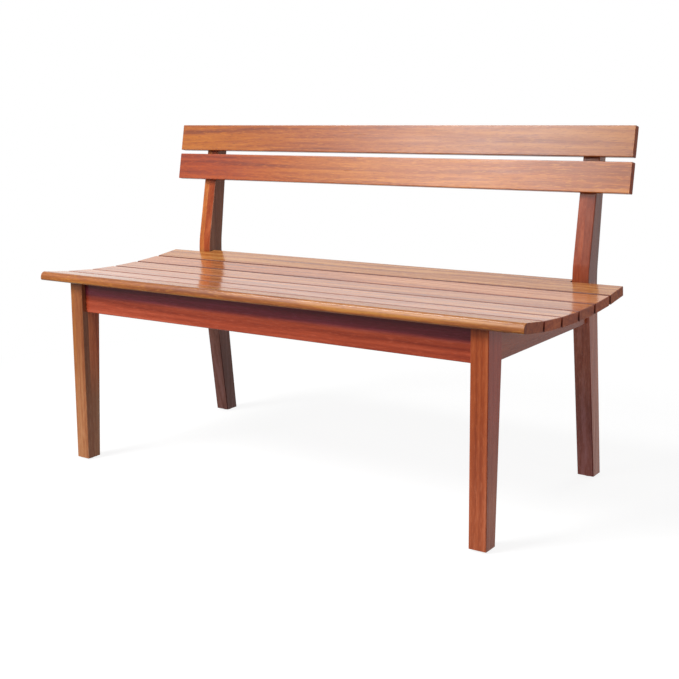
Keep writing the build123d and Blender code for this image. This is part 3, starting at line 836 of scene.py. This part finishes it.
class BENCH_OT_nose(bpy.types.Operator):
    """Builds the front slat with its rounded nose"""

    bl_idname = "bench.nose"
    bl_label = "Front slat"

    def execute(self, context):
        build_front_slat(context.scene.bench_shapes)
        return {"FINISHED"}


class BENCH_OT_back(bpy.types.Operator):
    """Dresses the two back slats"""

    bl_idname = "bench.back"
    bl_label = "Back slats"

    def execute(self, context):
        dress_boards(context.scene.bench_wood, BACK_SLATS, GRAIN_ALONG_X, "back")
        return {"FINISHED"}


class BENCH_OT_rails(bpy.types.Operator):
    """Dresses the rails and the centre bearer"""

    bl_idname = "bench.rails"
    bl_label = "Rails and bearer"

    def execute(self, context):
        wood = context.scene.bench_wood
        dress_boards(wood, LONG_RAILS, GRAIN_ALONG_X, "frame")
        dress_boards(wood, CROSS_RAILS, GRAIN_ALONG_Y, "frame")
        return {"FINISHED"}


class BENCH_OT_legs(bpy.types.Operator):
    """Dresses the front legs, and the rear legs with their posts"""

    bl_idname = "bench.legs"
    bl_label = "Legs"

    def execute(self, context):
        dress_boards(context.scene.bench_wood, FRONT_LEGS + REAR_LEGS, GRAIN_ALONG_Z, "frame")
        return {"FINISHED"}


class BENCH_OT_posts(bpy.types.Operator):
    """Builds the rear legs with their posts"""

    bl_idname = "bench.posts"
    bl_label = "Rear legs and posts"

    def execute(self, context):
        for node in REAR_LEGS:
            build_post(context.scene.bench_shapes, node)
        return {"FINISHED"}


class BENCH_OT_screws(bpy.types.Operator):
    """Dresses the screws, and the plugs over them"""

    bl_idname = "bench.screws"
    bl_label = "Screws and plugs"

    def execute(self, context):
        dress_boards(context.scene.bench_wood, ["back_screw_plugs"], GRAIN_ALONG_Z, "frame")
        steel = steel_material(context.scene.bench_fittings)
        for node in SCREWS:
            dress(node, steel)
        return {"FINISHED"}


class BENCH_OT_glides(bpy.types.Operator):
    """Dresses and builds the four glides"""

    bl_idname = "bench.glides"
    bl_label = "Glides"

    def execute(self, context):
        fittings = context.scene.bench_fittings
        plastic = plastic_material(fittings)
        for node in GLIDES:
            dress(node, plastic)
            build_glide(fittings, node)
        return {"FINISHED"}


class BENCH_OT_stage(bpy.types.Operator):
    """Builds the floor, the lamps and the camera"""

    bl_idname = "bench.stage"
    bl_label = "Studio"

    def execute(self, context):
        look = context.scene.bench_look
        build_floor(look)
        build_world(look)
        lamps = {name: add_lamp(look, name) for name in LAMPS}
        # The strip shows in gloss alone, as the thin highlight along the nose
        lamps["strip"].visible_diffuse = False
        build_camera(look)
        context.scene.view_settings.view_transform = "Standard"
        return {"FINISHED"}


class BENCH_PT_panel(bpy.types.Panel):
    """Lists the bench's steps, sizes and colours in the sidebar"""

    bl_idname = "BENCH_PT_panel"
    bl_label = "Bench"
    bl_space_type = "VIEW_3D"
    bl_region_type = "UI"
    bl_category = "Bench"

    def draw(self, context):
        for step in STEPS:
            self.layout.operator(step.bl_idname)
        for name in GROUPS:
            group = getattr(context.scene, name)
            for setting in group.__annotations__:
                self.layout.prop(group, setting)


GROUPS = {
    "bench_shapes": BenchShapes,
    "bench_fittings": BenchFittings,
    "bench_wood": BenchWood,
    "bench_look": BenchLook,
}
STEPS = (
    BENCH_OT_seat,
    BENCH_OT_nose,
    BENCH_OT_back,
    BENCH_OT_rails,
    BENCH_OT_legs,
    BENCH_OT_posts,
    BENCH_OT_screws,
    BENCH_OT_glides,
    BENCH_OT_stage,
)
CLASSES = (*GROUPS.values(), *STEPS, BENCH_PT_panel)


def register():
    for item in CLASSES:
        bpy.utils.register_class(item)
    for name, group in GROUPS.items():
        setattr(bpy.types.Scene, name, PointerProperty(type=group))


def unregister():
    for name in GROUPS:
        delattr(bpy.types.Scene, name)
    for item in reversed(CLASSES):
        bpy.utils.unregister_class(item)


def main():
    register()
    bpy.ops.bench.seat()
    bpy.ops.bench.nose()
    bpy.ops.bench.back()
    bpy.ops.bench.rails()
    bpy.ops.bench.legs()
    bpy.ops.bench.posts()
    bpy.ops.bench.screws()
    bpy.ops.bench.glides()
    bpy.ops.bench.stage()


if __name__ == "__main__":
    main()
